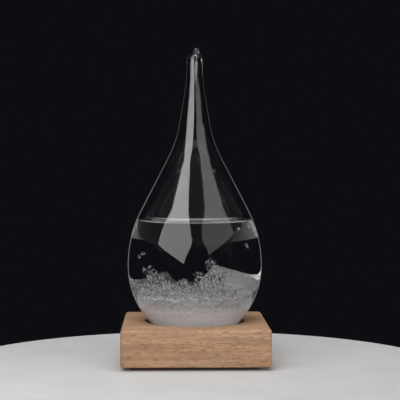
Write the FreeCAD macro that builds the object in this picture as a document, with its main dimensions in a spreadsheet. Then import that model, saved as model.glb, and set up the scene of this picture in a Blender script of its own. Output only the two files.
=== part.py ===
import FreeCAD, Part
import math
import os

import Sketcher
from FreeCAD import Placement, Rotation, Vector

# Teardrop storm glass: a sealed glass drop, part filled with a camphor solution and its crystals, that
# stands on a felt disc in a round recess in a square wooden block.
# Millimetres. Z is up, X is to the right and Y is to the back. The origin is on the table, under the
# middle of the block, and the axis of the drop is the Z axis.

DIMENSIONS = [
    # alias, value, what it is
    ("base_width", 85.0, "block, left to right"),
    ("base_depth", 85.0, "block, front to back"),
    ("base_height", 21.4, "block, without the pad under it"),
    ("base_round", 2.0, "rounding of the block's upright and upper edges"),
    ("base_ease", 0.8, "easing of the block's lower edges and of the recess rim"),
    ("recess_radius", 29.5, "round recess in the block"),
    ("recess_depth", 9.2, "depth of the recess"),
    ("pad_thickness", 2.0, "anti-slip pad under the block"),
    ("pad_inset", 5.8, "from the block's sides to the pad's"),
    ("pad_corner", 3.0, "corner radius of the pad"),
    ("felt_radius", 27.0, "felt disc under the drop"),
    ("felt_thickness", 1.0, "felt disc under the drop"),
    ("wall", 1.5, "glass wall"),
    ("floor_extra", 1.0, "how much thicker the glass is at the foot than at the wall"),
    ("tip_glass", 4.5, "solid glass at the melted tip"),
    ("equator_radius", 39.6, "widest radius of the drop"),
    ("equator_level", 56.3, "height of the widest part above the table"),
    ("belly_round", 50.0, "profile radius below the equator"),
    ("under_round", 20.0, "profile radius between the belly and the flat foot"),
    ("shoulder_round", 72.0, "profile radius above the equator"),
    ("cone_slope", 27.5, "degrees of the cone above the shoulder, from upright"),
    ("waist_round", 68.0, "hollow profile radius between the cone and the taper"),
    ("taper_slope", 9.4, "degrees of the taper below the neck, from upright"),
    ("collar_round", 104.0, "hollow profile radius between the taper and the neck"),
    ("neck_radius", 4.5, "straight neck"),
    ("neck_level", 175.0, "height at which the neck becomes straight"),
    ("dome_level", 183.7, "height of the neck's round end"),
    ("nub_radius", 1.7, "drop of glass where the tip was melted off"),
    ("nub_shift", 0.9, "how far the nub is off the axis, to the right"),
    ("top_level", 184.4, "height of the nub above the table"),
    ("liquid_level", 82.6, "height of the liquid above the table"),
    ("bed_level", 42.5, "top of the settled crystals"),
    ("heap_reach", 14.0, "half width of the crystal heap, left to right"),
    ("heap_depth", 22.0, "half width of the crystal heap, front to back"),
    ("heap_height", 12.0, "heap above the bed"),
    ("heap_shift", -17.0, "middle of the heap from the axis"),
    ("peak_radius", 7.0, "foot of the crystal peak"),
    ("peak_height", 17.5, "peak above the bed"),
    ("peak_shift", 7.5, "middle of the peak from the axis"),
    ("peak_tip", 1.2, "radius at the top of the peak"),
    ("drift_high", 12.5, "drift above the bed beside the peak"),
    ("drift_low", 6.5, "drift above the bed at the wall"),
    ("drift_start", 9.0, "inner side of the drift from the axis"),
    ("drift_depth", 50.0, "drift, front to back"),
    ("flake_size", 2.6, "crystal flakes on the wall, across"),
    ("flake_thickness", 0.6, "crystal flakes on the wall"),
    ("flake_gap", 0.41, "between the middle of a flake and the curved wall behind it"),
    ("flake_lean", 6.0, "degrees that a flake above the equator leans with the wall"),
]

# Flakes that stick to the wall of the drop: bearing in degrees from +X, and height above the table.
FLAKES = [
    (217, 64.5),
    (212, 62.0),
    (219, 56.0),
    (226, 57.0),
    (150, 66.0),
    (324, 69.0),
    (316, 78.8),
    (334, 78.6),
]

# A sketch's first size, before its constraints take it to the sheet's values.
DRAFT_SIZE = 20.0

# How far an edge may be from a level and still count as lying on it.
ON_LEVEL = 0.01

XY_PLANE = "XY_Plane"
XZ_PLANE = "XZ_Plane"

doc = FreeCAD.newDocument("storm_glass")
sheet = doc.addObject("Spreadsheet::Sheet", "dimensions")
for row, (alias, value, meaning) in enumerate(DIMENSIONS, start=1):
    sheet.set("A%d" % row, alias)
    sheet.set("B%d" % row, str(value))
    sheet.setAlias("B%d" % row, alias)
    sheet.set("C%d" % row, meaning)
doc.recompute()


def size(alias):
    """The value of a spreadsheet cell."""
    return float(sheet.get(alias))


def cells(expression):
    """Writes the sheet's aliases, marked with an @, as FreeCAD expects them in an expression."""
    return expression.replace("@", "dimensions.")


def bind(thing, **expressions):
    """Binds properties of an object to expressions over the spreadsheet's cells."""
    for name, expression in expressions.items():
        thing.setExpression(name, cells(expression))


def new_body(label):
    body = doc.addObject("PartDesign::Body", label)
    body.Label = label
    return body


def attach(feature, body, plane, height=None):
    """Puts a feature on one of its body's own origin planes, lifted to a height where one is given."""
    origin_plane = next(f for f in body.Origin.OriginFeatures if f.Role == plane)
    feature.AttachmentSupport = [(origin_plane, "")]
    feature.MapMode = "FlatFace"
    if height:
        feature.setExpression("AttachmentOffset.Base.z", cells(height))


def new_sketch(body, name, plane, height=None):
    sketch = body.newObject("Sketcher::SketchObject", name)
    attach(sketch, body, plane, height)
    return sketch


def fix(sketch, name, expression, *constraint):
    """Adds a named dimension to a sketch and binds it to an expression."""
    number = sketch.addConstraint(Sketcher.Constraint(*constraint))
    sketch.renameConstraint(number, name)
    sketch.setExpression("Constraints." + name, cells(expression))


def draw_rectangle(sketch, width, depth):
    """A rectangle about the origin. Width and depth are expressions over the sheet."""
    half = DRAFT_SIZE / 2
    corners = [Vector(-half, -half, 0), Vector(half, -half, 0), Vector(half, half, 0), Vector(-half, half, 0)]
    for i in range(4):
        sketch.addGeometry(Part.LineSegment(corners[i], corners[(i + 1) % 4]))
    for i in range(4):
        sketch.addConstraint(Sketcher.Constraint("Coincident", i, 2, (i + 1) % 4, 1))
        sketch.addConstraint(Sketcher.Constraint("Vertical" if i % 2 else "Horizontal", i))
    sketch.addConstraint(Sketcher.Constraint("Symmetric", 0, 1, 1, 2, -1, 1))
    fix(sketch, "width", width, "DistanceX", 0, 1, 0, 2, DRAFT_SIZE)
    fix(sketch, "depth", depth, "DistanceY", 1, 1, 1, 2, DRAFT_SIZE)


def draw_circle(sketch, radius):
    """A circle about the origin. Radius is an expression over the sheet."""
    sketch.addGeometry(Part.Circle(Vector(0, 0, 0), Vector(0, 0, 1), DRAFT_SIZE))
    sketch.addConstraint(Sketcher.Constraint("Coincident", 0, 3, -1, 1))
    fix(sketch, "radius", radius, "Radius", 0, DRAFT_SIZE)


def polar(centre, radius, degrees):
    angle = math.radians(degrees)
    return centre + Vector(radius * math.cos(angle), radius * math.sin(angle), 0)


def arc(centre, radius, start, end):
    """An arc, counter-clockwise from start to end degrees."""
    circle = Part.Circle(centre, Vector(0, 0, 1), radius)
    return Part.ArcOfCircle(circle, math.radians(start), math.radians(end))


def drop_arcs(inset, foot_level, dome_level):
    """The profile of the drop as tangent arcs and lines, in the plane of radius and height.

    Every arc's centre follows from its neighbour's. Offsetting the whole profile by inset makes the
    convex radii smaller and the hollow ones larger, and leaves the slopes as they are."""
    belly = size("belly_round") - inset
    under = size("under_round") - inset
    shoulder = size("shoulder_round") - inset
    waist = size("waist_round") + inset
    collar = size("collar_round") + inset
    neck = size("neck_radius") - inset
    cone = size("cone_slope")
    taper = size("taper_slope")
    equator = Vector(size("equator_radius") - inset, size("equator_level"), 0)

    belly_centre = equator - Vector(belly, 0, 0)
    under_drop = equator.y - (foot_level + under)
    turn = math.degrees(math.asin(under_drop / (belly - under)))
    under_centre = polar(belly_centre, belly - under, -turn)
    shoulder_centre = equator - Vector(shoulder, 0, 0)
    cone_start = polar(shoulder_centre, shoulder, cone)
    collar_centre = Vector(neck + collar, size("neck_level"), 0)
    taper_end = polar(collar_centre, collar, 180 + taper)

    # The waist arc is tangent to the cone and the taper: its centre is where their offsets cross.
    cone_way = Vector(-math.sin(math.radians(cone)), math.cos(math.radians(cone)), 0)
    taper_way = Vector(-math.sin(math.radians(taper)), math.cos(math.radians(taper)), 0)
    cone_offset = polar(cone_start, waist, cone)
    taper_offset = polar(taper_end, waist, taper)
    gap = taper_offset - cone_offset
    crossing = cone_way.x * taper_way.y - cone_way.y * taper_way.x
    along = (gap.x * taper_way.y - gap.y * taper_way.x) / crossing
    waist_centre = cone_offset + cone_way * along
    cone_end = polar(waist_centre, waist, 180 + cone)
    taper_start = polar(waist_centre, waist, 180 + taper)

    dome_centre = Vector(0, dome_level - neck, 0)
    neck_start = Vector(neck, size("neck_level"), 0)
    neck_end = dome_centre + Vector(neck, 0, 0)
    foot_edge = under_centre - Vector(0, under, 0)
    return [
        Part.LineSegment(Vector(0, foot_level, 0), foot_edge),
        arc(under_centre, under, -90, -turn),
        arc(belly_centre, belly, -turn, 0),
        arc(shoulder_centre, shoulder, 0, cone),
        Part.LineSegment(cone_start, cone_end),
        arc(waist_centre, waist, 180 + taper, 180 + cone),
        Part.LineSegment(taper_start, taper_end),
        arc(collar_centre, collar, 180, 180 + taper),
        Part.LineSegment(neck_start, neck_end),
        arc(dome_centre, neck, 0, 90),
        Part.LineSegment(Vector(0, dome_level, 0), Vector(0, foot_level, 0)),
    ]


# Place of each stretch in the list that drop_arcs returns.
FLOOR, UNDER, BELLY, SHOULDER, CONE, WAIST, TAPER, COLLAR, NECK, DOME, AXIS = range(11)
START, END, CENTRE = 1, 2, 3
ORIGIN = (-1, 1)
VERTICAL_AXIS = -2


def draw_drop(sketch, inset, foot_level, dome_level):
    """Draws the drop's profile, closed along its axis, and binds its sizes. The arguments are
    expressions over the sheet."""
    offset = sketch.evalExpression(cells(inset))
    foot = sketch.evalExpression(cells(foot_level))
    dome = sketch.evalExpression(cells(dome_level))
    for piece in drop_arcs(offset, foot, dome):
        sketch.addGeometry(piece)

    # Stretches meet tangentially. A hollow arc runs the other way, so its ends change places.
    hollow = (WAIST, COLLAR)
    for first in range(FLOOR, DOME):
        second = first + 1
        first_end = START if first in hollow else END
        second_start = END if second in hollow else START
        sketch.addConstraint(Sketcher.Constraint("Tangent", first, first_end, second, second_start))
    sketch.addConstraint(Sketcher.Constraint("Coincident", DOME, END, AXIS, START))
    sketch.addConstraint(Sketcher.Constraint("Coincident", AXIS, END, FLOOR, START))
    sketch.addConstraint(Sketcher.Constraint("PointOnObject", FLOOR, START, VERTICAL_AXIS))
    sketch.addConstraint(Sketcher.Constraint("PointOnObject", DOME, CENTRE, VERTICAL_AXIS))
    sketch.addConstraint(Sketcher.Constraint("Vertical", AXIS))
    sketch.addConstraint(Sketcher.Constraint("Horizontal", FLOOR))
    sketch.addConstraint(Sketcher.Constraint("Vertical", NECK))

    for stretch, name in ((BELLY, "belly"), (UNDER, "under"), (SHOULDER, "shoulder")):
        radius = size(name + "_round") - offset
        fix(sketch, name, "@%s_round - %s" % (name, inset), "Radius", stretch, radius)
    for stretch, name in ((WAIST, "waist"), (COLLAR, "collar")):
        radius = size(name + "_round") + offset
        fix(sketch, name, "@%s_round + %s" % (name, inset), "Radius", stretch, radius)
    for stretch, name in ((CONE, "cone"), (TAPER, "taper")):
        angle = math.radians(90 + size(name + "_slope"))
        fix(sketch, name, "(90 + @%s_slope) * 1 deg" % name, "Angle", stretch, angle)

    for stretch, name in ((SHOULDER, "equator"), (NECK, "neck")):
        radius = size(name + "_radius") - offset
        fix(sketch, name, "@%s_radius - %s" % (name, inset), "DistanceX", *ORIGIN, stretch, START, radius)
    level = size("equator_level")
    fix(sketch, "equator_level", "@equator_level", "DistanceY", *ORIGIN, SHOULDER, CENTRE, level)
    fix(sketch, "belly_level", "@equator_level", "DistanceY", *ORIGIN, BELLY, CENTRE, level)
    fix(sketch, "neck_level", "@neck_level", "DistanceY", *ORIGIN, NECK, START, size("neck_level"))
    fix(sketch, "foot_level", foot_level, "DistanceY", *ORIGIN, FLOOR, START, foot)
    fix(sketch, "dome_level", dome_level, "DistanceY", *ORIGIN, DOME, END, dome)


FOOT_LEVEL = "@pad_thickness + @base_height - @recess_depth + @felt_thickness"
OUTSIDE = ("0", FOOT_LEVEL, "@dome_level")
INSIDE = ("@wall", FOOT_LEVEL + " + @wall + @floor_extra", "@dome_level - @tip_glass")


def revolve(body, kind, sketch):
    """Turns a profile about the body's upright axis, as a Revolution or a Groove."""
    feature = body.newObject(kind, sketch.Name + "_turned")
    feature.Profile = sketch
    feature.ReferenceAxis = (sketch, ["V_Axis"])
    feature.Angle = 360
    return feature


def edges_where(shape, test):
    """Names of the edges whose centre of mass and bounding box pass a test."""
    names = []
    for number, edge in enumerate(shape.Edges, start=1):
        if test(edge.CenterOfMass, edge.BoundBox):
            names.append("Edge%d" % number)
    return names


def make_wooden_base():
    body = new_body("wooden_base")
    outline = new_sketch(body, "block_outline", XY_PLANE, "@pad_thickness")
    draw_rectangle(outline, "@base_width", "@base_depth")
    block = body.newObject("PartDesign::Pad", "block")
    block.Profile = outline
    bind(block, Length="@base_height")
    doc.recompute()

    top = size("pad_thickness") + size("base_height")
    bottom = size("pad_thickness")
    rounding = body.newObject("PartDesign::Fillet", "rounded_edges")
    not_lower = edges_where(block.Shape, lambda centre, box: centre.z > bottom + ON_LEVEL)
    rounding.Base = (block, not_lower)
    bind(rounding, Radius="@base_round")
    doc.recompute()

    circle = new_sketch(body, "recess_outline", XY_PLANE, "@pad_thickness + @base_height")
    draw_circle(circle, "@recess_radius")
    recess = body.newObject("PartDesign::Pocket", "recess")
    recess.Profile = circle
    bind(recess, Length="@recess_depth")
    doc.recompute()

    easing = body.newObject("PartDesign::Fillet", "eased_edges")
    rim_width = 2 * size("recess_radius")

    def is_rim_or_lower(centre, box):
        on_rim = abs(centre.z - top) < ON_LEVEL and abs(box.YLength - rim_width) < ON_LEVEL
        return on_rim or abs(box.ZMax - bottom) < ON_LEVEL

    easing.Base = (recess, edges_where(recess.Shape, is_rim_or_lower))
    bind(easing, Radius="@base_ease")
    return body


def make_base_pad():
    body = new_body("base_pad")
    outline = new_sketch(body, "pad_outline", XY_PLANE)
    draw_rectangle(outline, "@base_width - 2 * @pad_inset", "@base_depth - 2 * @pad_inset")
    pad = body.newObject("PartDesign::Pad", "pad_sheet")
    pad.Profile = outline
    bind(pad, Length="@pad_thickness")
    doc.recompute()
    corners = body.newObject("PartDesign::Fillet", "pad_corners")
    corners.Base = (pad, edges_where(pad.Shape, lambda centre, box: box.ZLength > ON_LEVEL))
    bind(corners, Radius="@pad_corner")
    return body


def make_seat_pad():
    body = new_body("seat_pad")
    outline = new_sketch(body, "felt_outline", XY_PLANE, "@pad_thickness + @base_height - @recess_depth")
    draw_circle(outline, "@felt_radius")
    felt = body.newObject("PartDesign::Pad", "felt_sheet")
    felt.Profile = outline
    bind(felt, Length="@felt_thickness")
    return body


def make_glass_drop():
    body = new_body("glass_drop")
    outside = new_sketch(body, "outside", XZ_PLANE)
    draw_drop(outside, *OUTSIDE)
    revolve(body, "PartDesign::Revolution", outside)
    inside = new_sketch(body, "inside", XZ_PLANE)
    draw_drop(inside, *INSIDE)
    revolve(body, "PartDesign::Groove", inside)
    nub = body.newObject("PartDesign::AdditiveSphere", "melted_nub")
    attach(nub, body, XY_PLANE, "@top_level - @nub_radius")
    bind(nub, Radius="@nub_radius")
    nub.setExpression("AttachmentOffset.Base.x", cells("@nub_shift"))
    return body


def make_cavity():
    """The room inside the glass, which shapes everything that the drop holds."""
    body = new_body("cavity")
    inside = new_sketch(body, "room", XZ_PLANE)
    draw_drop(inside, *INSIDE)
    revolve(body, "PartDesign::Revolution", inside)
    return body


def place(thing, *position):
    """Binds where an object stands. The three coordinates are expressions over the sheet."""
    for key, expression in zip("xyz", position):
        thing.setExpression("Placement.Base." + key, cells(expression))


def primitive(kind, name, position, **expressions):
    """A Part primitive whose sizes and place are expressions over the sheet."""
    thing = doc.addObject(kind, name)
    bind(thing, **expressions)
    place(thing, *position)
    return thing


def common(name, first, second):
    result = doc.addObject("Part::Common", name)
    result.Base = first
    result.Tool = second
    return result


def cut(label, base, tool):
    result = doc.addObject("Part::Cut", label)
    result.Label = label
    result.Base = base
    result.Tool = tool
    return result


def fuse(name, shapes):
    result = doc.addObject("Part::MultiFuse", name)
    result.Shapes = shapes
    return result


def make_crystal_bed(cavity):
    """Settled crystals, packed over the whole foot of the drop."""
    form = primitive(
        "Part::Cylinder", "bed_form", ("0", "0", "0"), Radius="@equator_radius", Height="@bed_level"
    )
    bed = common("crystal_bed", cavity, form)
    bed.Label = "crystal_bed"
    return bed


def make_crystal_heap(cavity, bed):
    """The fluffy heap on the left of the bed: the upper half of an ellipsoid."""
    form = primitive(
        "Part::Ellipsoid",
        "heap_form",
        ("@heap_shift", "0", "@bed_level"),
        Radius1="@heap_height",
        Radius2="@heap_reach",
        Radius3="@heap_depth",
    )
    return cut("crystal_heap", common("heap_in_glass", cavity, form), bed)


def make_crystal_peak(cavity, bed, heap):
    """The tall spiky peak right of the middle: a cone that stands in the bed."""
    form = primitive(
        "Part::Cone",
        "peak_form",
        ("@peak_shift", "0", "@bed_level"),
        Radius1="@peak_radius",
        Radius2="@peak_tip",
        Height="@peak_height",
    )
    others = fuse("bed_and_heap", [bed, heap])
    return cut("crystal_peak", common("peak_in_glass", cavity, form), others)


def make_crystal_drift(cavity, bed, heap, peak):
    """The smooth drift that slopes from the peak down to the right-hand wall."""
    # A wedge slopes along its own Y axis, which a quarter turn points to the right.
    form = doc.addObject("Part::Wedge", "drift_form")
    form.Placement = Placement(Vector(0, 0, 0), Rotation(Vector(0, 0, 1), -90))
    place(form, "@drift_start", "@drift_depth / 2", "@bed_level")
    bind(form, Ymin="0", Ymax="@equator_radius - @drift_start")
    bind(form, Xmin="0", Xmax="@drift_depth", X2min="0", X2max="@drift_depth")
    bind(form, Zmin="0", Zmax="@drift_high", Z2min="0", Z2max="@drift_low")
    others = fuse("other_crystals", [bed, heap, peak])
    return cut("crystal_drift", common("drift_in_glass", cavity, form), others)


def wall_radius(level):
    """Inner radius of the drop's belly at a height."""
    above = level > size("equator_level")
    radius = size("shoulder_round" if above else "belly_round") - size("wall")
    rise = level - size("equator_level")
    return size("equator_radius") - size("wall") - radius + math.sqrt(radius**2 - rise**2)


def make_wall_flakes():
    """Thin six-sided crystals that stick to the inside of the wall, in one node."""
    flakes = []
    for number, (bearing, level) in enumerate(FLAKES):
        plate = doc.addObject("Part::Prism", "flake_%d" % number)
        plate.Polygon = 6
        bind(plate, Circumradius="@flake_size / 2", Height="@flake_thickness")
        lean = size("flake_lean") if level > size("equator_level") else 0.0
        facing = Rotation(Vector(0, 0, 1), bearing) * Rotation(Vector(0, 1, 0), 90 - lean)
        reach = wall_radius(level) - size("flake_gap") - size("flake_thickness")
        middle = polar(Vector(0, 0, 0), reach, bearing) + Vector(0, 0, level)
        plate.Placement = Placement(middle, facing)
        flakes.append(plate)
    result = doc.addObject("Part::Compound", "wall_flakes")
    result.Label = "wall_flakes"
    result.Links = flakes
    return result


def make_storm_liquid(cavity, solids):
    """The clear solution: the room inside the glass up to its level, less the crystals in it."""
    form = primitive(
        "Part::Cylinder", "level_form", ("0", "0", "0"), Radius="@equator_radius", Height="@liquid_level"
    )
    filling = common("filling", cavity, form)
    crystals = fuse("all_crystals", solids)
    return cut("storm_liquid", filling, crystals)


def check(subparts):
    """Stops at a feature that failed, or at a sub-part that is no valid closed shape."""
    for thing in doc.Objects:
        if "Invalid" in thing.State or "Error" in thing.State:
            raise RuntimeError("%s failed: %s" % (thing.Name, thing.State))
    for thing in subparts:
        if thing.Shape.isNull() or not thing.Shape.isValid():
            raise RuntimeError("%s has no valid shape" % thing.Label)
        if not thing.Shape.Solids:
            raise RuntimeError("%s holds no solid" % thing.Label)


def main():
    cavity = make_cavity()
    bed = make_crystal_bed(cavity)
    heap = make_crystal_heap(cavity, bed)
    peak = make_crystal_peak(cavity, bed, heap)
    drift = make_crystal_drift(cavity, bed, heap, peak)
    flakes = make_wall_flakes()
    liquid = make_storm_liquid(cavity, [bed, heap, peak, drift, flakes])
    subparts = [
        make_wooden_base(),
        make_base_pad(),
        make_seat_pad(),
        make_glass_drop(),
        liquid,
        bed,
        heap,
        peak,
        drift,
        flakes,
    ]
    doc.recompute()
    check(subparts)
    os.makedirs("parts", exist_ok=True)
    for part in subparts:
        part.Shape.exportStep("parts/%s.step" % part.Label)
        box = part.Shape.BoundBox
        print(
            "%-14s %8.2f cm3  solids %d  x %.1f..%.1f  y %.1f..%.1f  z %.1f..%.1f"
            % (
                part.Label,
                part.Shape.Volume / 1000,
                len(part.Shape.Solids),
                box.XMin,
                box.XMax,
                box.YMin,
                box.YMax,
                box.ZMin,
                box.ZMax,
            )
        )


main()
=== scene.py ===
import math

import bmesh
import bpy
import numpy as np
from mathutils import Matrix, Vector, noise as field


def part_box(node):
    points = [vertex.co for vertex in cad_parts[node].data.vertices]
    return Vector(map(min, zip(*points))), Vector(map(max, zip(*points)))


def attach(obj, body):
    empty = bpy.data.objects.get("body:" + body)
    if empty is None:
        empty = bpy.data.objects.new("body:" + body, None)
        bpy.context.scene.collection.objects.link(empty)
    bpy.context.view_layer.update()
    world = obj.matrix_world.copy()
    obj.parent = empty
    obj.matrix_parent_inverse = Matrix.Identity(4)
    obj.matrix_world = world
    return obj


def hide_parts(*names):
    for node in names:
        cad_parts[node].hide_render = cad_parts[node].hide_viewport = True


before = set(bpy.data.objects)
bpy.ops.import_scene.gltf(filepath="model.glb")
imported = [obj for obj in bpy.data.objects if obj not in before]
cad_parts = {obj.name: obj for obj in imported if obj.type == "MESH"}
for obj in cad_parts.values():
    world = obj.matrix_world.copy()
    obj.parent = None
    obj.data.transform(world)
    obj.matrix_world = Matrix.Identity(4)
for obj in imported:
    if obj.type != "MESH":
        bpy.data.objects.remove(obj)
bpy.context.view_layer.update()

# ---------------------------------------------------------------------------------------------------
# Driving values, in metres and degrees. The boxes of the CAD nodes give the rest.
# ---------------------------------------------------------------------------------------------------

GLASS_LOW, GLASS_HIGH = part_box("glass_drop")
LIQUID_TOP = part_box("storm_liquid")[1].z
BED_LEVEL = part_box("crystal_bed")[1].z
DRIFT_LOW, DRIFT_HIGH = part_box("crystal_drift")

# The outside of the drop, the nub at its tip, and the thickness of its glass.
FOOT_LEVEL = GLASS_LOW.z
TOP_LEVEL = GLASS_HIGH.z
EQUATOR_RADIUS = GLASS_HIGH.x
EQUATOR_LEVEL = 0.0563
BELLY_ROUND = 0.050
UNDER_ROUND = 0.020
SHOULDER_ROUND = 0.072
CONE_SLOPE = 27.5
WAIST_ROUND = 0.068
TAPER_SLOPE = 9.4
COLLAR_ROUND = 0.104
NECK_RADIUS = 0.0045
NECK_LEVEL = 0.175
DOME_LEVEL = TOP_LEVEL - 0.0007
NUB_SHIFT = 0.0009
NUB_FROM = 0.1795
NUB_TO = 0.1820
WALL = 0.0015
FLOOR_GLASS = 0.0025
TIP_GLASS = 0.0045

# The surface of the liquid, and the gaps that keep the pieces inside the glass apart.
MENISCUS_CLIMB = 0.0021
MENISCUS_REACH = 0.0017
MENISCUS_RINGS = 48
CONTACT_LEVEL = LIQUID_TOP + 0.0007
STILL_LEVEL = CONTACT_LEVEL - MENISCUS_CLIMB
LIQUID_GAP = 0.00003
CRYSTAL_GAP = 0.0002

# How the clear pieces and the crystals take light.
GLASS_IOR = 1.47
LIQUID_IOR = 1.36
WAVINESS = 0.02
CRYSTAL_IOR = 1.15
CRYSTAL_GLOW = 0.006
# The packed crystals are painted lighter from the foot up to the first of these heights, painted light for
# the light that reaches the bottom of the bed, and painted darker between the other two, painted shade on
# their top, which catches most light from above.
PAINTED_LIGHT_TO = BED_LEVEL - 0.007
TOP_SHADE_FROM = BED_LEVEL - 0.005
TOP_SHADE_TO = BED_LEVEL - 0.001

# Corners of a turned shape, and the distances below which points are one.
AROUND = 144
ON_AXIS = 1e-7
SAME_PLACE = 1e-6

# Every random number comes from here, so the order of the calls matters.
draw = np.random.default_rng(7)


# ---------------------------------------------------------------------------------------------------
# Shapes
# ---------------------------------------------------------------------------------------------------

def smooth_step(value, start, end):
    share = min(max((value - start) / (end - start), 0.0), 1.0)
    return share * share * (3 - 2 * share)


def direction(degrees):
    """A unit vector in the plane of radius and height, turned up from the radius."""
    angle = math.radians(degrees)
    return np.array((math.cos(angle), math.sin(angle)))


def sweep(centre, radius, start, end, steps):
    """Points on an arc, from start to end degrees."""
    return [centre + radius * direction(a) for a in np.linspace(start, end, steps)]


def run(start, end, steps):
    """Points on a straight stretch, from start to end."""
    return [start + (end - start) * t for t in np.linspace(0, 1, steps)]


def drop_outline(inset, foot_level):
    """The profile of the drop from the middle of its foot to the start of its straight neck, as tangent
    arcs and straight stretches. Inset moves it inwards, parallel to itself."""
    belly, under, shoulder = BELLY_ROUND - inset, UNDER_ROUND - inset, SHOULDER_ROUND - inset
    waist, collar, neck = WAIST_ROUND + inset, COLLAR_ROUND + inset, NECK_RADIUS - inset
    equator = np.array((EQUATOR_RADIUS - inset, EQUATOR_LEVEL))

    belly_centre = equator - (belly, 0)
    turn = math.degrees(math.asin((equator[1] - foot_level - under) / (belly - under)))
    under_centre = belly_centre + (belly - under) * direction(-turn)
    shoulder_centre = equator - (shoulder, 0)
    cone_start = shoulder_centre + shoulder * direction(CONE_SLOPE)
    collar_centre = np.array((neck + collar, NECK_LEVEL))
    taper_end = collar_centre + collar * direction(180 + TAPER_SLOPE)

    cone_way, taper_way = direction(90 + CONE_SLOPE), direction(90 + TAPER_SLOPE)
    cone_offset = cone_start + waist * direction(CONE_SLOPE)
    taper_offset = taper_end + waist * direction(TAPER_SLOPE)
    along = np.linalg.solve(np.array((cone_way, -taper_way)).T, taper_offset - cone_offset)[0]
    waist_centre = cone_offset + cone_way * along
    cone_end = waist_centre + waist * direction(180 + CONE_SLOPE)
    taper_start = waist_centre + waist * direction(180 + TAPER_SLOPE)

    stretches = [
        run(np.array((0.0, foot_level)), under_centre - (0, under), 10),
        sweep(under_centre, under, -90, -turn, 14),
        sweep(belly_centre, belly, -turn, 0, 26),
        sweep(shoulder_centre, shoulder, 0, CONE_SLOPE, 22),
        run(cone_start, cone_end, 14),
        sweep(waist_centre, waist, 180 + CONE_SLOPE, 180 + TAPER_SLOPE, 12),
        run(taper_start, taper_end, 8),
        sweep(collar_centre, collar, 180 + TAPER_SLOPE, 180, 10),
    ]
    points = [stretches[0][0]]
    for stretch in stretches:
        points += stretch[1:]
    return points


def curve_through(points, steps):
    """A smooth curve through points, with a few steps between each two."""
    rows = [2 * points[0] - points[1], *points, 2 * points[-1] - points[-2]]
    curve = []
    for before, start, end, after in zip(rows, rows[1:], rows[2:], rows[3:]):
        for t in np.linspace(0, 1, steps, endpoint=False):
            bend = (2 * before - 5 * start + 4 * end - after) * t * t
            twist = (3 * start - before - 3 * end + after) * t ** 3
            curve.append(0.5 * (2 * start + (end - before) * t + bend + twist))
    return curve + [points[-1]]


def melted_tip():
    """The closed end of the neck: a rounded shoulder, and the nub where the tube was melted off. Heights
    are given from the top."""
    corners = [(NECK_RADIUS, 0.0080), (0.0045, 0.0068), (0.0043, 0.0056), (0.0037, 0.0047)]
    corners += [(0.0027, 0.0041), (0.0018, 0.0037), (0.0016, 0.0033), (0.0018, 0.0028)]
    corners += [(0.00195, 0.0020), (0.0017, 0.0010), (0.0011, 0.00035), (0.0005, 0.00006), (0.0, 0.0)]
    return curve_through([np.array((radius, TOP_LEVEL - depth)) for radius, depth in corners], 5)


def bore_end():
    """The round end of the room inside the neck."""
    radius = NECK_RADIUS - WALL
    end = sweep(np.array((0, DOME_LEVEL - TIP_GLASS - radius)), radius, 0, 90, 10)
    end[-1][0] = 0.0
    return end


def profile_radius(outline, level):
    """The radius of an outline at a height above its widest foot."""
    heights = np.array([p[1] for p in outline])
    radii = np.array([p[0] for p in outline])
    return np.interp(level, heights, radii)


def cut_at(outline, level):
    """The part of an outline below a level, with its last point on the level."""
    below = [p for p in outline if p[1] < level - SAME_PLACE]
    return below + [np.array((profile_radius(outline, level), level))]


def around(count):
    """Unit vectors spread evenly round the Z axis."""
    angles = [2 * math.pi * i / count for i in range(count)]
    return [(math.cos(angle), math.sin(angle)) for angle in angles]


def lathe(outline, inwards=False):
    """Vertices and faces of an outline turned about the Z axis. Points on the axis make one vertex."""
    vertices, rings, faces = [], [], []
    ways = around(AROUND)
    for radius, height in outline:
        first = len(vertices)
        if radius < ON_AXIS:
            vertices.append((0.0, 0.0, height))
            rings.append([first] * AROUND)
        else:
            vertices += [(radius * x, radius * y, height) for x, y in ways]
            rings.append(list(range(first, first + AROUND)))
    for lower, upper in zip(rings, rings[1:]):
        for i in range(AROUND):
            j = (i + 1) % AROUND
            corners = [lower[i], lower[j], upper[j], upper[i]]
            face = tuple(dict.fromkeys(corners))
            if len(face) > 2:
                faces.append(face[::-1] if inwards else face)
    return vertices, faces


def joined(*parts):
    """Several lists of vertices and faces as one, with the faces of each part numbered by its place."""
    vertices, faces, owners = [], [], []
    for number, (points, polygons) in enumerate(parts):
        shift = len(vertices)
        vertices += points
        faces += [tuple(v + shift for v in polygon) for polygon in polygons]
        owners += [number] * len(polygons)
    return vertices, faces, owners


def add_piece(name, vertices, faces, materials, nodes, smooth=True, slots=None):
    """Makes a mesh that rides with the drop and stands for CAD nodes."""
    mesh = bpy.data.meshes.new(name)
    mesh.from_pydata([tuple(v) for v in vertices], [], faces)
    mesh.polygons.foreach_set("use_smooth", [smooth] * len(mesh.polygons))
    for material in materials:
        mesh.materials.append(material)
    if slots is not None:
        mesh.polygons.foreach_set("material_index", slots)
    mesh.validate()
    piece = bpy.data.objects.new(name, mesh)
    bpy.context.scene.collection.objects.link(piece)
    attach(piece, "drop")
    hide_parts(*nodes)
    return piece


# ---------------------------------------------------------------------------------------------------
# Materials
# ---------------------------------------------------------------------------------------------------

def new_material(name):
    material = bpy.data.materials.new(name)
    material.use_nodes = True
    tree = material.node_tree
    shader = tree.nodes["Principled BSDF"]
    return material, tree, shader


def add_node(tree, kind, **settings):
    node = tree.nodes.new(kind)
    for key, value in settings.items():
        setattr(node, key, value)
    return node


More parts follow.
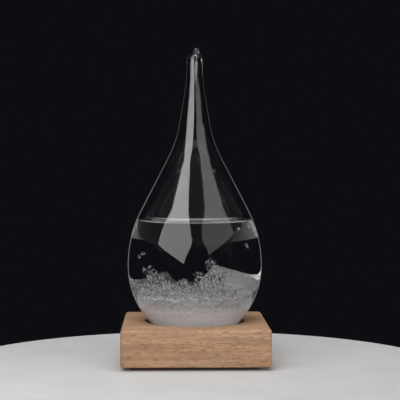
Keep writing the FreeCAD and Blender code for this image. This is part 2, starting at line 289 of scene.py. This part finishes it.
def placed(tree, scale):
    """Object coordinates, stretched. The scale is repeats per metre along X, Y and Z."""
    place = add_node(tree, "ShaderNodeTexCoord")
    mapping = add_node(tree, "ShaderNodeMapping")
    mapping.inputs["Scale"].default_value = scale
    tree.links.new(place.outputs["Object"], mapping.inputs["Vector"])
    return mapping.outputs["Vector"]


def noise(tree, scale, detail=3.0, roughness=0.5, distortion=0.0):
    """Noise with a size in repeats per metre along X, Y and Z."""
    texture = add_node(tree, "ShaderNodeTexNoise")
    texture.inputs["Scale"].default_value = 1.0
    texture.inputs["Detail"].default_value = detail
    texture.inputs["Roughness"].default_value = roughness
    texture.inputs["Distortion"].default_value = distortion
    tree.links.new(placed(tree, scale), texture.inputs["Vector"])
    return texture.outputs["Fac"]


def ramp(tree, value, stops):
    """Colours by value. Stops are (position, (red, green, blue))."""
    node = add_node(tree, "ShaderNodeValToRGB")
    elements = node.color_ramp.elements
    while len(elements) < len(stops):
        elements.new(0.5)
    for element, (position, colour) in zip(elements, stops):
        element.position = position
        element.color = (*colour, 1.0)
    tree.links.new(value, node.inputs["Fac"])
    return node.outputs["Color"]


def remapped(tree, value, low, high, to_low, to_high):
    node = add_node(tree, "ShaderNodeMapRange")
    for key, number in (("From Min", low), ("From Max", high), ("To Min", to_low), ("To Max", to_high)):
        node.inputs[key].default_value = number
    tree.links.new(value, node.inputs["Value"])
    return node.outputs["Result"]


def blended(tree, share, first, second, mode="MIX"):
    """Mixes two colours by a share, which is a number or a socket."""
    node = add_node(tree, "ShaderNodeMix", data_type="RGBA", blend_type=mode)
    for socket, value in ((node.inputs[0], share), (node.inputs[6], first), (node.inputs[7], second)):
        if isinstance(value, bpy.types.NodeSocket):
            tree.links.new(value, socket)
        elif isinstance(value, tuple):
            socket.default_value = (*value, 1.0)
        else:
            socket.default_value = value
    return node.outputs[2]


def bump(tree, shader, height, strength, distance):
    node = add_node(tree, "ShaderNodeBump")
    node.inputs["Strength"].default_value = strength
    node.inputs["Distance"].default_value = distance
    tree.links.new(height, node.inputs["Height"])
    tree.links.new(node.outputs["Normal"], shader.inputs["Normal"])


def let_lamps_through(tree, shader):
    """Shadow rays pass, so that lamps light what stands in and behind clear pieces."""
    output = tree.nodes["Material Output"]
    path = add_node(tree, "ShaderNodeLightPath")
    clear = add_node(tree, "ShaderNodeBsdfTransparent")
    mix = add_node(tree, "ShaderNodeMixShader")
    tree.links.new(path.outputs["Is Shadow Ray"], mix.inputs[0])
    tree.links.new(shader.outputs[0], mix.inputs[1])
    tree.links.new(clear.outputs[0], mix.inputs[2])
    tree.links.new(mix.outputs[0], output.inputs["Surface"])


def clear_material(name, ior, waviness):
    """Clear glass or liquid, with the faint waves of a hand-blown wall."""
    material, tree, shader = new_material(name)
    shader.inputs["Base Color"].default_value = (1.0, 1.0, 1.0, 1.0)
    shader.inputs["Roughness"].default_value = 0.0
    shader.inputs["IOR"].default_value = ior
    shader.inputs["Transmission Weight"].default_value = 1.0
    if waviness:
        bump(tree, shader, noise(tree, (16, 16, 7), detail=1.0), waviness, 0.001)
    let_lamps_through(tree, shader)
    return material


BEECH_DARK = (0.288, 0.164, 0.091)
BEECH_LIGHT = (0.390, 0.242, 0.150)
BEECH_FLECK = (0.185, 0.092, 0.047)


def beech_material():
    """Pale beech with its grain along X: soft bands, fine pores and short dark ray flecks."""
    material, tree, shader = new_material("beech")
    bands = noise(tree, (6, 40, 80), detail=2.0, distortion=0.6)
    colour = ramp(tree, bands, [(0.3, BEECH_DARK), (0.7, BEECH_LIGHT)])
    streaks = noise(tree, (22, 500, 500), detail=3.0)
    tone = ramp(tree, streaks, [(0.35, (0.82, 0.80, 0.78)), (0.65, (1.12, 1.12, 1.12))])
    colour = blended(tree, 1.0, colour, tone, "MULTIPLY")
    flecks = noise(tree, (300, 1000, 2100), detail=1.5, distortion=0.7)
    fleck_share = remapped(tree, flecks, 0.53, 0.61, 0.0, 0.7)
    colour = blended(tree, fleck_share, colour, BEECH_FLECK)
    tree.links.new(colour, shader.inputs["Base Color"])
    tree.links.new(remapped(tree, streaks, 0.3, 0.7, 0.58, 0.72), shader.inputs["Roughness"])
    shader.inputs["Specular IOR Level"].default_value = 0.35
    bump(tree, shader, streaks, 0.25, 0.0002)
    return material


def speckled_material(name, dark, light, size, roughness, height):
    """A matte grained sheet, such as rubber foam or felt."""
    material, tree, shader = new_material(name)
    grain = noise(tree, (size, size, size), detail=4.0, roughness=0.7)
    tree.links.new(ramp(tree, grain, [(0.35, dark), (0.65, light)]), shader.inputs["Base Color"])
    tree.links.new(remapped(tree, grain, 0.3, 0.7, roughness, 1.0), shader.inputs["Roughness"])
    bump(tree, shader, grain, 0.6, height)
    return material


def crystal_material(name, dark, light, size, hollows, roughness, subsurface, foot=None):
    """White crystals: cloudy, with painted shade for the darker hollows between the grains. Size is in
    repeats per metre, and hollows says which values of the clouds are dark and light. Foot is a pair of
    colours for the crystals at the bottom, painted lighter as painted light for the light that reaches
    there; with it, the top is painted darker as painted shade."""
    material, tree, shader = new_material(name)
    clouds = noise(tree, (size, size, size), detail=5.0, roughness=0.65)
    low, high = hollows
    # The dark end of the clouds is painted shade for the hollows between the grains.
    colour = ramp(tree, clouds, [(low, dark), (high, light)])
    if foot:
        height = add_node(tree, "ShaderNodeSeparateXYZ")
        tree.links.new(placed(tree, (1, 1, 1)), height.inputs["Vector"])
        # Painted light: the colours get lighter towards the bottom of the bed.
        share = remapped(tree, height.outputs["Z"], FOOT_LEVEL, PAINTED_LIGHT_TO, 1.0, 0.0)
        painted_light_colour = ramp(tree, clouds, [(low, foot[0]), (high, foot[1])])
        colour = blended(tree, share, colour, painted_light_colour)
        # Painted shade: the top of the bed is darkened, as it catches most light from above.
        crest = remapped(tree, height.outputs["Z"], TOP_SHADE_FROM, TOP_SHADE_TO, 0.0, 1.0)
        colour = blended(tree, crest, colour, dark)
    tree.links.new(colour, shader.inputs["Base Color"])
    rough = remapped(tree, clouds, 0.3, 0.7, roughness, roughness + 0.25)
    tree.links.new(rough, shader.inputs["Roughness"])
    shader.inputs["IOR"].default_value = CRYSTAL_IOR
    shader.inputs["Subsurface Weight"].default_value = subsurface
    shader.inputs["Subsurface Radius"].default_value = (CRYSTAL_GLOW, CRYSTAL_GLOW, CRYSTAL_GLOW)
    shader.inputs["Subsurface Scale"].default_value = 1.0
    bump(tree, shader, clouds, 0.5, 0.0003)
    return material


# ---------------------------------------------------------------------------------------------------
# Glass and liquid
# ---------------------------------------------------------------------------------------------------

OUTSIDE = drop_outline(0.0, FOOT_LEVEL) + melted_tip()
INSIDE = drop_outline(WALL, FOOT_LEVEL + FLOOR_GLASS) + bore_end()


def lean_tip(vertices):
    """Moves the nub off the axis, as it was pulled off to one side."""
    leaned = []
    for x, y, z in vertices:
        leaned.append((x + NUB_SHIFT * smooth_step(z, NUB_FROM, NUB_TO), y, z))
    return leaned


def weld(piece):
    """Joins the parts of a piece along the edges that they share."""
    made = bmesh.new()
    made.from_mesh(piece.data)
    bmesh.ops.remove_doubles(made, verts=made.verts, dist=SAME_PLACE)
    made.to_mesh(piece.data)
    made.free()


def make_glass():
    """The glass: its outside, the dry part of its inner wall and the wet part, which bends less."""
    outside, outer_faces = lathe(OUTSIDE)
    wet = cut_at(INSIDE, CONTACT_LEVEL)
    dry = [wet[-1]] + [p for p in INSIDE if p[1] > CONTACT_LEVEL + SAME_PLACE]
    parts = [(lean_tip(outside), outer_faces), lathe(dry, inwards=True), lathe(wet, inwards=True)]
    vertices, faces, owners = joined(*parts)
    slots = [1 if owner == 2 else 0 for owner in owners]
    air = clear_material("blown_glass", GLASS_IOR, WAVINESS)
    wet_wall = clear_material("wet_glass", GLASS_IOR / LIQUID_IOR, 0.0)
    materials = [air, wet_wall]
    weld(add_piece("glass_envelope", vertices, faces, materials, ["glass_drop"], slots=slots))


def make_liquid():
    """The solution. Its top climbs the wall in a meniscus; its sides touch the wet wall, which does the
    bending there, so they bend nothing themselves."""
    wet = cut_at(INSIDE, CONTACT_LEVEL)
    sides = [np.array((max(radius - LIQUID_GAP, 0.0), level + LIQUID_GAP)) for radius, level in wet]
    sides[-1][1] = CONTACT_LEVEL
    rim = sides[-1][0]
    top = []
    for step in np.linspace(0, 1, MENISCUS_RINGS) ** 2.5:
        radius = rim * (1 - step) if step < 1 else 0.0
        climb = MENISCUS_CLIMB * math.exp(-(rim - radius) / MENISCUS_REACH)
        top.append(np.array((radius, STILL_LEVEL + climb)))
    top[0] = sides[-1]
    vertices, faces, owners = joined(lathe(sides), lathe(top))
    side = clear_material("solution_side", 1.0, 0.0)
    surface = clear_material("solution_surface", LIQUID_IOR, 0.0)
    materials = [side, surface]
    weld(add_piece("solution", vertices, faces, materials, ["storm_liquid"], slots=owners))


# ---------------------------------------------------------------------------------------------------
# Crystals
# ---------------------------------------------------------------------------------------------------

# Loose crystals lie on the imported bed, and in the room at the wall that it leaves towards its top.
LOOSE_FROM = BED_LEVEL - 0.012
LOOSE_ROOM = 0.0022
LOOSE_DEPTH = 0.0008
LOOSE_RISE = 0.006
LOOSE_ON_TOP = 2200
LOOSE_AT_WALL = 2000

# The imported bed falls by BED_FALL between two radii, and its edge is ragged by a share of the room.
BED_FALL = 0.0022
BED_FALL_FROM, BED_FALL_TO = 0.020, 0.036
BED_RAGGED = 0.45
BED_RINGS, BED_TURNS = 90, 240

# The drift, from its height beside the peak to its height at the wall.
DRIFT_START = DRIFT_HIGH.z - 0.0008
DRIFT_EDGE = DRIFT_HIGH.z - 0.0102
DRIFT_FOOT = BED_LEVEL - 0.004
DRIFT_CREST = 0.008
DRIFT_MIDDLE = (DRIFT_LOW + DRIFT_HIGH) / 2
DRIFT_HALF = (DRIFT_HIGH - DRIFT_LOW) / 2
DRIFT_RINGS, DRIFT_TURNS = 70, 200

# Mounds: steps up the wall, rounds to settle the height of the rim, and the least height.
WALL_STEPS = 24
RIM_ROUNDS = 12
LEAST_HEIGHT = 0.0004

# Piles of tufts: how much deeper than wide they are, and the tufts in each cone.
PILE_DEPTH = 1.8
HEAP_CENTRES = 120
PEAK_CENTRES = 110

# Feathers, with widths and lengths as shares of the feather's length, and the length of each kind.
NEEDLE_CORNERS = 5
NEEDLE_WAIST = 0.4
FEATHER_WIDTH = 0.05
BARB_PAIRS = 1
BARB_LENGTH = 0.5
BARB_WIDTH = 0.8
BARB_AHEAD, BARB_ASIDE = 0.5, 0.87
TUFT_FEATHERS = 3
TUFT_SPREAD = 0.3
PILE_FEATHER = 0.0016
LOOSE_FEATHER = 0.0012
WALL_FEATHER = 0.0008
FLAKE_FEATHER = 0.0011
FLAKE_DEPTH = 0.0010


def wall_at(level):
    """The radius that crystals may fill at a height."""
    return profile_radius(INSIDE, level) - CRYSTAL_GAP


def packed_at(level):
    """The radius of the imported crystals. Towards their top they leave room for loose ones at the wall."""
    share = np.clip((level - LOOSE_FROM) / (BED_LEVEL - LOOSE_FROM), 0, 1)
    return wall_at(level) - LOOSE_ROOM * share


def ripple(x, y, size, seed):
    """Smooth noise from -1 to 1."""
    return field.noise(Vector((x / size, y / size, seed)))


def bed_level(x, y):
    """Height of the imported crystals."""
    level = BED_LEVEL - 0.0010 - BED_FALL * smooth_step(math.hypot(x, y), BED_FALL_FROM, BED_FALL_TO)
    level += 0.0014 * ripple(x, y, 0.013, 1.0) + 0.0024 * ripple(x, y, 0.0045, 2.0)
    return level + 0.0022 * ripple(x, y, 0.0018, 3.0)


def drift_level(x, y):
    """Height of the smooth drift at the right. It falls from beside the peak to the wall, and from a crest
    behind the middle to the front."""
    across = (x - DRIFT_LOW.x) / (DRIFT_HIGH.x - DRIFT_LOW.x)
    slope = DRIFT_START + (DRIFT_EDGE - DRIFT_START) * across
    rise = smooth_step(x, DRIFT_LOW.x - 0.001, DRIFT_LOW.x + 0.005)
    front = smooth_step(y, DRIFT_LOW.y - 0.002, DRIFT_CREST)
    back = smooth_step(DRIFT_HIGH.y - y, -0.004, 0.016)
    share = rise * front * back
    return DRIFT_FOOT + (slope - DRIFT_FOOT) * share + 0.0004 * ripple(x, y, 0.005, 5.0)


def bed_reach(way, level):
    """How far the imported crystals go, with a ragged edge towards their top."""
    spare = wall_at(level) - packed_at(level)
    wave = field.noise(Vector((way[0] * 14, way[1] * 14, level / 0.002)))
    return packed_at(level) + BED_RAGGED * spare * wave


def drift_reach(way, level):
    """How far the drift goes from its middle: to the wall, or to its own round edge."""
    room = wall_at(level) - LOOSE_ROOM * (1 - smooth_step(level, BED_LEVEL - 0.001, BED_LEVEL + 0.003))
    along = DRIFT_MIDDLE.x * way[0] + DRIFT_MIDDLE.y * way[1]
    off = DRIFT_MIDDLE.x ** 2 + DRIFT_MIDDLE.y ** 2 - room ** 2
    to_wall = math.sqrt(along ** 2 - off) - along
    wide = abs(way[0] / (DRIFT_HALF.x + 0.006)) ** 4
    deep = abs(way[1] / (DRIFT_HALF.y + 0.005)) ** 4
    return min(to_wall, (wide + deep) ** -0.25)


def mound(level_of, low_level, middle, reach_at, rings, turns):
    """A closed mound under a height field and above a level, out to a reach by direction and height."""
    vertices, faces, loops = [], [], []
    ways = around(turns)

    def height_at(way, reach):
        level = level_of(middle[0] + reach * way[0], middle[1] + reach * way[1])
        return max(level, low_level + LEAST_HEIGHT)

    rims = []
    for way in ways:
        level = low_level
        for _ in range(RIM_ROUNDS):
            level = height_at(way, reach_at(way, level))
        rims.append(level)

    def add_loop(levels, reaches):
        loops.append(range(len(vertices), len(vertices) + turns))
        for way, level, reach in zip(ways, levels, reaches):
            vertices.append((middle[0] + reach * way[0], middle[1] + reach * way[1], level))

    for share in np.linspace(0, 1, WALL_STEPS, endpoint=False):
        levels = [low_level + (rim - low_level) * share for rim in rims]
        add_loop(levels, [reach_at(way, level) for way, level in zip(ways, levels)])
    for share in np.linspace(1, 0, rings, endpoint=False):
        reaches = [reach_at(way, rim) * share for way, rim in zip(ways, rims)]
        add_loop([height_at(way, reach) for way, reach in zip(ways, reaches)], reaches)
    top, bottom = len(vertices), len(vertices) + 1
    vertices += [(*middle, height_at((0, 0), 0.0)), (*middle, low_level)]
    for lower, upper in zip(loops, loops[1:]):
        for i in range(turns):
            j = (i + 1) % turns
            faces.append((lower[i], lower[j], upper[j], upper[i]))
    for i in range(turns):
        j = (i + 1) % turns
        faces.append((loops[-1][i], loops[-1][j], top))
        faces.append((loops[0][j], loops[0][i], bottom))
    return vertices, faces


def unit(vectors):
    return vectors / np.linalg.norm(vectors, axis=1, keepdims=True)


def random_ways(count, upward):
    """Random directions that lean upwards by a share."""
    return unit(unit(draw.normal(size=(count, 3))) + (0, 0, upward))


def needles(roots, ways, lengths, widths):
    """Slender three-sided crystals, pointed at both ends, as rows of five corners."""
    ways = unit(ways)
    helpers = np.where(np.abs(ways[:, 2:]) < 0.9, (0.0, 0.0, 1.0), (1.0, 0.0, 0.0))
    side = unit(np.cross(ways, helpers))
    other = np.cross(ways, side)
    waists = roots + ways * lengths[:, None] * NEEDLE_WAIST
    corners = []
    for degrees in (0, 120, 240):
        across, along = direction(degrees)
        corners.append(waists + widths[:, None] * (side * across + other * along))
    return np.stack([roots, *corners, roots + ways * lengths[:, None]], axis=1)


NEEDLE_FACES = np.array([(0, 2, 1), (0, 3, 2), (0, 1, 3), (4, 1, 2), (4, 2, 3), (4, 3, 1)])


def feathers(roots, ways, lengths):
    """Fern-like crystals: each a spine with pairs of shorter barbs in one plane."""
    ways = unit(ways)
    across = unit(np.cross(ways, random_ways(len(roots), 0.0)))
    rows = [needles(roots, ways, lengths, lengths * FEATHER_WIDTH)]
    for pair in range(1, BARB_PAIRS + 1):
        along = pair / (BARB_PAIRS + 1)
        starts = roots + ways * lengths[:, None] * along
        reach = lengths * BARB_LENGTH * (1 - 0.5 * along)
        for sign in (-1, 1):
            barbs = ways * BARB_AHEAD + across * BARB_ASIDE * sign
            rows.append(needles(starts, barbs, reach, lengths * FEATHER_WIDTH * BARB_WIDTH))
    return np.concatenate(rows)


def tufts(centres, length, upward):
    """Feathers that radiate from each centre, of about one length."""
    roots = np.repeat(centres, TUFT_FEATHERS, axis=0)
    roots = roots + draw.normal(0, length * TUFT_SPREAD, roots.shape)
    lengths = length * draw.uniform(0.5, 1.4, len(roots))
    return feathers(roots, random_ways(len(roots), upward), lengths)


def add_crystals(name, rows, material, node):
    """Makes one piece of many crystals, without those that would poke through the wall."""
    reach = np.hypot(rows[:, :, 0], rows[:, :, 1])
    room = wall_at(rows[:, :, 2])
    rows = rows[np.all(reach < room, axis=1)]
    firsts = NEEDLE_CORNERS * np.arange(len(rows))
    faces = (NEEDLE_FACES[None] + firsts[:, None, None]).reshape(-1, 3)
    vertices = rows.reshape(-1, 3).tolist()
    add_piece(name, vertices, faces.tolist(), [material], [node], smooth=False)


def scatter(count, middle, radius):
    """Points spread evenly in a ball."""
    ways = unit(draw.normal(size=(count, 3)))
    return np.array(middle) + ways * draw.uniform(0, 1, (count, 1)) ** (1 / 3) * radius


def loose_points(count, low, high):
    """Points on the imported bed, denser towards its surface."""
    rise = draw.triangular(low, low, high, count)
    angle = draw.uniform(0, 2 * math.pi, count)
    reach = np.sqrt(draw.uniform(0, 1, count)) * wall_at(BED_LEVEL)
    points = []
    for r, a, z in zip(reach, angle, rise):
        x, y = r * math.cos(a), r * math.sin(a)
        points.append((x, y, bed_level(x, y) + z))
    return np.array(points)


def points_at_wall(count):
    """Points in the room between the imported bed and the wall, densest in its upper part."""
    level = LOOSE_FROM + (BED_LEVEL + 0.001 - LOOSE_FROM) * draw.triangular(0, 0.7, 1, count)
    angle = draw.uniform(0, 2 * math.pi, count)
    reach = wall_at(level) - draw.uniform(0.0003, LOOSE_ROOM, count)
    return np.stack([reach * np.cos(angle), reach * np.sin(angle), level], axis=1)


def make_bed(packed, loose):
    """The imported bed, with loose feathery crystals on it and between it and the wall."""
    low = FOOT_LEVEL + FLOOR_GLASS + CRYSTAL_GAP
    vertices, faces = mound(bed_level, low, (0.0, 0.0), bed_reach, BED_RINGS, BED_TURNS)
    add_piece("packed_bed", vertices, faces, [packed], ["crystal_bed"])
    on_top = loose_points(LOOSE_ON_TOP, -LOOSE_DEPTH, LOOSE_RISE)
    add_crystals("loose_crystals", tufts(on_top, LOOSE_FEATHER, 0.2), loose, "crystal_bed")
    at_wall = points_at_wall(LOOSE_AT_WALL)
    add_crystals("loose_crystals_at_wall", tufts(at_wall, WALL_FEATHER, 0.0), loose, "crystal_bed")


def make_drift(frost):
    middle = (DRIFT_MIDDLE.x, DRIFT_MIDDLE.y)
    vertices, faces = mound(drift_level, DRIFT_FOOT, middle, drift_reach, DRIFT_RINGS, DRIFT_TURNS)
    add_piece("frosted_drift", vertices, faces, [frost], ["crystal_drift"])


# Lobes of the heap and spikes of the peak: place, height of the top, and half the width at the bed.
LOBES = [
    ((-0.0210, -0.004), 0.0520, 0.0060),
    ((-0.0187, 0.002), 0.0545, 0.0055),
    ((-0.0150, -0.002), 0.0532, 0.0060),
    ((-0.0115, 0.003), 0.0490, 0.0065),
    ((-0.0057, -0.001), 0.0508, 0.0045),
    ((-0.0275, -0.009), 0.0465, 0.0050),
    ((-0.0225, 0.013), 0.0485, 0.0060),
    ((-0.0140, -0.013), 0.0490, 0.0060),
    ((-0.0020, 0.006), 0.0480, 0.0050),
]
SPIKES = [
    ((0.0072, 0.000), 0.0606, 0.0038),
    ((0.0090, 0.003), 0.0570, 0.0042),
    ((0.0019, 0.001), 0.0540, 0.0030),
    ((0.0047, -0.001), 0.0512, 0.0040),
    ((0.0120, -0.010), 0.0495, 0.0060),
    ((0.0180, -0.014), 0.0475, 0.0060),
    ((0.0060, -0.012), 0.0480, 0.0060),
]


def stack(place, top, half, count):
    """Places piled up in a cone from the bed to a top, thinning out upwards."""
    share = draw.uniform(0, 1, count) ** 1.7
    reach = half * (1 - share) ** 0.8 * np.sqrt(draw.uniform(0, 1, count)) + 0.0005
    angle = draw.uniform(0, 2 * math.pi, count)
    level = BED_LEVEL - 0.001 + (top - 0.0006 - BED_LEVEL) * share
    depth = place[1] + PILE_DEPTH * reach * np.sin(angle)
    return np.column_stack([place[0] + reach * np.cos(angle), depth, level])


def make_pile(name, cones, count, material, node):
    """A fluffy pile of feathers, in cones that each end in a wispy top."""
    centres = np.concatenate([stack(place, top, half, count) for place, top, half in cones])
    add_crystals(name, tufts(centres, PILE_FEATHER, 0.3), material, node)


# Clusters on the wall: bearing in degrees from +X, height, spread and number of tufts. The first ones
# stand where the CAD flakes do, and the last ones are specks on the dry glass.
CLUSTERS = [
    (217, 0.0645, 0.0014, 7),
    (212, 0.0620, 0.0008, 4),
    (219, 0.0560, 0.0014, 7),
    (226, 0.0570, 0.0012, 6),
    (150, 0.0660, 0.0010, 4),
    (324, 0.0690, 0.0010, 4),
    (316, 0.0788, 0.0006, 3),
    (334, 0.0786, 0.0008, 4),
    (238, 0.1120, 0.0004, 2),
    (310, 0.1110, 0.0003, 1),
    (311, 0.1125, 0.0003, 1),
]


def make_flakes(material):
    rows = []
    for bearing, level, spread, count in CLUSTERS:
        angle = math.radians(bearing)
        reach = wall_at(level) - FLAKE_DEPTH
        middle = (reach * math.cos(angle), reach * math.sin(angle), level)
        rows.append(tufts(scatter(count, middle, spread), FLAKE_FEATHER, 0.0))
    add_crystals("wall_crystals", np.concatenate(rows), material, "wall_flakes")


# ---------------------------------------------------------------------------------------------------
# Finishes of the CAD nodes that stay
# ---------------------------------------------------------------------------------------------------

def finish_node(name, material):
    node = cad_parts[name]
    node.data.materials.clear()
    node.data.materials.append(material)


# ---------------------------------------------------------------------------------------------------
# Floor, light and camera
# ---------------------------------------------------------------------------------------------------

FLOOR_RADIUS = 0.15
FLOOR_MIDDLE = -0.03
FLOOR_CORNERS = 128
FLOOR_DARK = (0.49, 0.49, 0.49)
FLOOR_LIGHT = (0.53, 0.53, 0.53)
DARK_ROOM = (0.0045, 0.0045, 0.006, 1.0)

# The camera's tilt down and turn to the right are in degrees, and its lens and sensor in millimetres.
CAMERA_PLACE = (-0.0143, -0.7098, 0.1145)
CAMERA_DOWN = 1.6
CAMERA_RIGHT = 1.408
CAMERA_LENS = 108.0
CAMERA_SENSOR = 36.0


def flat_panel(name, vertices, material):
    """One flat face, linked to the scene."""
    mesh = bpy.data.meshes.new(name)
    mesh.from_pydata(vertices, [], [tuple(range(len(vertices)))])
    mesh.materials.append(material)
    panel = bpy.data.objects.new(name, mesh)
    bpy.context.scene.collection.objects.link(panel)
    return panel


def make_floor():
    """A plain pale table top, a round board that ends just behind the block."""
    material, tree, shader = new_material("pale_floor")
    grain = noise(tree, (30, 30, 30), detail=2.0)
    colour = ramp(tree, grain, [(0.3, FLOOR_DARK), (0.7, FLOOR_LIGHT)])
    tree.links.new(colour, shader.inputs["Base Color"])
    shader.inputs["Roughness"].default_value = 0.6
    ways = around(FLOOR_CORNERS)
    vertices = [(FLOOR_RADIUS * x, FLOOR_MIDDLE + FLOOR_RADIUS * y, 0.0) for x, y in ways]
    floor = flat_panel("floor", vertices, material)


def towards(azimuth, elevation):
    """The direction from the object at an azimuth, 0 towards the front and positive to the right."""
    a, e = math.radians(azimuth), math.radians(elevation)
    return Vector((math.sin(a) * math.cos(e), -math.cos(a) * math.cos(e), math.sin(e)))


def softbox(name, corners, distance, strength, reflected=True, refracted=True):
    """A glowing panel. Each corner is an (azimuth, elevation) seen from the middle of the drop. A panel
    that is not reflected or refracted only lights what it shines on."""
    middle = Vector((0, 0, EQUATOR_LEVEL))
    vertices = [tuple(middle + towards(*corner) * distance) for corner in corners]
    material = bpy.data.materials.new(name)
    material.use_nodes = True
    tree = material.node_tree
    tree.nodes.clear()
    glow = add_node(tree, "ShaderNodeEmission")
    glow.inputs["Strength"].default_value = strength
    output = add_node(tree, "ShaderNodeOutputMaterial")
    tree.links.new(glow.outputs[0], output.inputs["Surface"])
    box = flat_panel(name, vertices, material)
    box.visible_camera = False
    box.visible_glossy = reflected
    box.visible_transmission = refracted


# Corners of the panels of light. The two softboxes make the bright stripes on the glass. The dim cards
# stand behind the drop, at either side, and draw the thin outline of the glass.
LEFT = [(-19, 1.5), (-68, 15.5), (-61, 50), (-46, 66), (-33, 60), (-19, 52.5), (-11, 37.5), (-5, 22)]
RIGHT = [(23.5, 9), (78, 21.5), (79, 50), (66, 62), (44, 61), (31, 53), (15, 38), (12, 25)]
CARD_RIGHT = [(156, -25), (172, -25), (172, 50), (156, 50)]
CARD_LEFT = [(-azimuth, elevation) for azimuth, elevation in CARD_RIGHT]
OVERHEAD = [(azimuth, 70) for azimuth in range(0, 360, 30)]
FILL = [(30, -2), (85, -2), (85, 14), (30, 14)]


def make_lights():
    """Plain soft light in dark surroundings."""
    softbox("softbox_left", LEFT, distance=0.6, strength=4.0)
    softbox("softbox_right", RIGHT, distance=3.0, strength=1.2)
    softbox("card_left", CARD_LEFT, distance=1.0, strength=0.24, refracted=False)
    softbox("card_right", CARD_RIGHT, distance=1.0, strength=0.24, refracted=False)
    softbox("softbox_top", OVERHEAD, distance=1.0, strength=4.4, refracted=False)
    softbox("softbox_fill", FILL, distance=1.2, strength=5.8, reflected=False, refracted=False)
    world = bpy.data.worlds.new("studio")
    world.use_nodes = True
    world.node_tree.nodes["Background"].inputs["Color"].default_value = DARK_ROOM
    bpy.context.scene.world = world


def make_camera():
    """A long lens in front of the drop and a little above it, looking slightly down."""
    data = bpy.data.cameras.new("camera")
    data.sensor_width = CAMERA_SENSOR
    data.lens = CAMERA_LENS
    camera = bpy.data.objects.new("camera", data)
    camera.location = CAMERA_PLACE
    camera.rotation_euler = (math.radians(90 - CAMERA_DOWN), 0.0, math.radians(-CAMERA_RIGHT))
    bpy.context.scene.collection.objects.link(camera)
    bpy.context.scene.camera = camera


# ---------------------------------------------------------------------------------------------------
# The whole scene
# ---------------------------------------------------------------------------------------------------

make_camera()
make_lights()
make_floor()
make_glass()
make_liquid()
# In every crystal material the dark colour is painted shade for the hollows between the grains.
ferns = crystal_material(
    "feathery_crystals", dark=(0.05, 0.05, 0.053), light=(0.56, 0.563, 0.57),
    size=800, hollows=(0.49, 0.60), roughness=0.35, subsurface=0.0,
)
wisps = crystal_material(
    "wall_crystals", dark=(0.30, 0.305, 0.31), light=(0.55, 0.555, 0.56),
    size=1100, hollows=(0.35, 0.6), roughness=0.35, subsurface=0.0,
)
frost = crystal_material(
    "frosted_drift", dark=(0.080, 0.080, 0.081), light=(0.105, 0.104, 0.104),
    size=300, hollows=(0.35, 0.6), roughness=0.5, subsurface=0.3,
)
# The packed crystals carry painted light at their foot and painted shade on their top.
packed = crystal_material(
    "packed_crystals", dark=(0.070, 0.070, 0.072), light=(0.245, 0.238, 0.236),
    size=700, hollows=(0.2, 0.62), roughness=0.6, subsurface=0.5,
    foot=((0.74, 0.685, 0.665), (0.83, 0.77, 0.75)),
)
make_bed(packed, ferns)
make_drift(frost)
make_pile("feathery_heap", LOBES, HEAP_CENTRES, ferns, "crystal_heap")
make_pile("feathery_peak", SPIKES, PEAK_CENTRES, ferns, "crystal_peak")
make_flakes(wisps)
finish_node("wooden_base", beech_material())
pad = speckled_material(
    "anti_slip", dark=(0.06, 0.035, 0.022), light=(0.12, 0.07, 0.045),
    size=2500, roughness=0.7, height=0.0001,
)
finish_node("base_pad", pad)
felt = speckled_material(
    "felt", dark=(0.03, 0.028, 0.026), light=(0.07, 0.065, 0.06),
    size=3500, roughness=0.85, height=0.0002,
)
finish_node("seat_pad", felt)

bpy.context.scene.view_settings.view_transform = "Standard"
